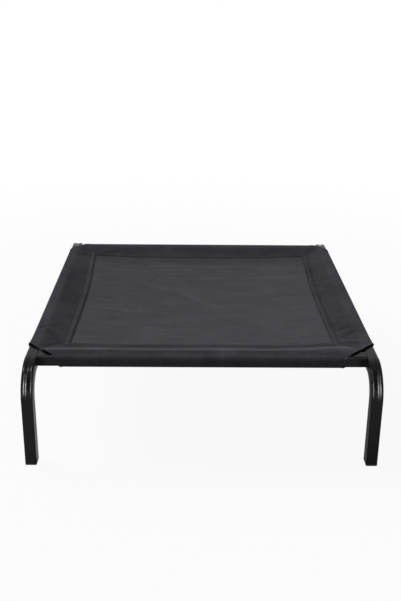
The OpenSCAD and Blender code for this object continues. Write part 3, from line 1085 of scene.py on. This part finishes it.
def pale_floor():
    """Plain white floor: mostly shown at white, with part of its own shading, which keeps the shadow.

    Reflections show less of the plain white and more of the shadow under the cot.
    """
    corners = FLOOR_HALF * np.array([[-1, -1, 0], [1, -1, 0], [1, 1, 0], [-1, 1, 0]])
    mesh = bpy.data.meshes.new("floor")
    mesh.from_pydata(corners, [], [(0, 1, 2, 3)])
    floor = bpy.data.objects.new("floor", mesh)
    scene.collection.objects.link(floor)
    material, tree, shader = new_material("matt_white_floor", Roughness=0.9, Specular_IOR_Level=0.0)
    shader.inputs["Base Color"].default_value = linear("#c4c4c4")
    white = add_node(tree, "ShaderNodeEmission", {"Color": linear("#ffffff"), "Strength": 1.0})
    path = add_node(tree, "ShaderNodeLightPath").outputs
    mirrored = add_node(tree, "ShaderNodeMath", {
        0: path["Is Glossy Ray"], 1: path["Is Transmission Ray"],
    }, operation="MAXIMUM")
    in_mirrors = add_node(tree, "ShaderNodeMath", {
        0: mirrored.outputs["Value"], 1: WHITE_MIRRORED,
    }, operation="MULTIPLY")
    place = add_node(tree, "ShaderNodeTexCoord").outputs["Object"]
    away = add_node(tree, "ShaderNodeVectorMath", {0: place}, operation="LENGTH")
    seen = add_node(tree, "ShaderNodeMapRange", {
        "Value": away.outputs["Value"], "From Min": WHITE_FROM, "From Max": WHITE_FULL,
        "To Min": WHITE_SEEN, "To Max": 1.0,
    }, interpolation_type="SMOOTHSTEP")
    share = add_node(tree, "ShaderNodeMath", {
        0: path["Is Camera Ray"], 1: seen.outputs["Result"], 2: in_mirrors.outputs["Value"],
    }, operation="MULTIPLY_ADD")
    mixed = add_node(tree, "ShaderNodeMixShader", {
        "Fac": share.outputs["Value"], 1: shader.outputs["BSDF"], 2: white.outputs["Emission"],
    })
    tree.links.new(mixed.outputs["Shader"], tree.nodes["Material Output"].inputs["Surface"])
    # The plain white lights nothing, so no light samples are spent on it
    material.cycles.emission_sampling = "NONE"
    mesh.materials.append(material)


def surroundings():
    """White walls that fade into a ceiling, which is pale at the rear and dark at the front.

    They are white up to WALL_TOP over the horizon, and the ceiling starts at CEILING.
    """
    world = bpy.data.worlds.new("studio")
    world.use_nodes = True
    tree = world.node_tree
    tree.nodes.clear()
    ray = add_node(tree, "ShaderNodeTexCoord").outputs["Generated"]
    part = add_node(tree, "ShaderNodeSeparateXYZ", {"Vector": ray}).outputs
    ceiling = add_node(tree, "ShaderNodeMapRange", {
        "Value": part["Y"], "From Min": -1.0, "From Max": 1.0,
        "To Min": CEILING_FRONT, "To Max": CEILING_REAR,
    })
    level = add_node(tree, "ShaderNodeMapRange", {
        "Value": part["Z"], "From Min": math.sin(WALL_TOP), "From Max": math.sin(CEILING),
        "To Min": 1.0, "To Max": ceiling.outputs["Result"],
    }, interpolation_type="SMOOTHSTEP")
    walls = add_node(tree, "ShaderNodeBackground", {
        "Color": linear("#ffffff"), "Strength": level.outputs["Result"],
    })
    add_node(tree, "ShaderNodeOutputWorld", {"Surface": walls.outputs["Background"]})
    scene.world = world


def studio_lamp(name, kind, place, target, **settings):
    """Lamp of a kind at a place, turned to face the target."""
    lamp = bpy.data.lights.new(name, kind)
    for key, value in settings.items():
        setattr(lamp, key, value)
    light = bpy.data.objects.new(name, lamp)
    light.location = place
    light.rotation_euler = (Vector(target) - Vector(place)).to_track_quat("-Z", "Y").to_euler()
    scene.collection.objects.link(light)
    return light


pale_floor()
surroundings()
window = studio_lamp("wide_window_light", "SUN", place=(-0.65, 0.45, 0.61), target=(0, 0, 0),
                     angle=math.radians(36), energy=3.0)
window.visible_glossy = False
# Three soft boxes that only show as gloss: two over the camera, for the streaks down the bends, and one over
# the left rail, for the upper edges. They face a point between the front bends.
BETWEEN_BENDS = (0, -0.37, 0.15)
SOFT_BOXES = {
    "front_soft_box": {"place": (0.04, -2.5, 1.08), "size": 0.3, "size_y": 1.6, "energy": 90},
    "upper_soft_box": {"place": (0.04, -1.7, 2.05), "size": 0.3, "size_y": 1.5, "energy": 20},
    "top_soft_box": {"place": (-1.0, -0.4, 2.5), "size": 0.4, "size_y": 0.8, "energy": 14},
}
for name, settings in SOFT_BOXES.items():
    soft_box = studio_lamp(name, "AREA", target=BETWEEN_BENDS, shape="RECTANGLE", **settings)
    soft_box.visible_diffuse = False

# Camera: focal length in pixels of the 401 by 601 image, angles and place from a fit to the outline

IMAGE_H = 601
FOCAL_PX = 852.6
PITCH = math.radians(21.25)
YAW = math.radians(-0.79)
ROLL = math.radians(-0.61)
EYE = (-22.7 * MM, -1652.3 * MM, 802.3 * MM)


def camera():
    """Camera that looks along +Y, turned by yaw, tilted down by pitch and then rolled."""
    lens = bpy.data.cameras.new("camera")
    lens.lens = FOCAL_PX * lens.sensor_width / IMAGE_H
    eye = bpy.data.objects.new("camera", lens)
    right = Vector((math.cos(YAW), math.sin(YAW), 0))
    ahead = Vector((-math.sin(YAW) * math.cos(PITCH), math.cos(YAW) * math.cos(PITCH), -math.sin(PITCH)))
    down = ahead.cross(right)
    rolled_right = math.cos(ROLL) * right + math.sin(ROLL) * down
    rolled_down = math.cos(ROLL) * down - math.sin(ROLL) * right
    turn = Matrix((rolled_right, -rolled_down, -ahead)).transposed()
    eye.matrix_world = Matrix.Translation(EYE) @ turn.to_4x4()
    scene.collection.objects.link(eye)
    scene.camera = eye


camera()
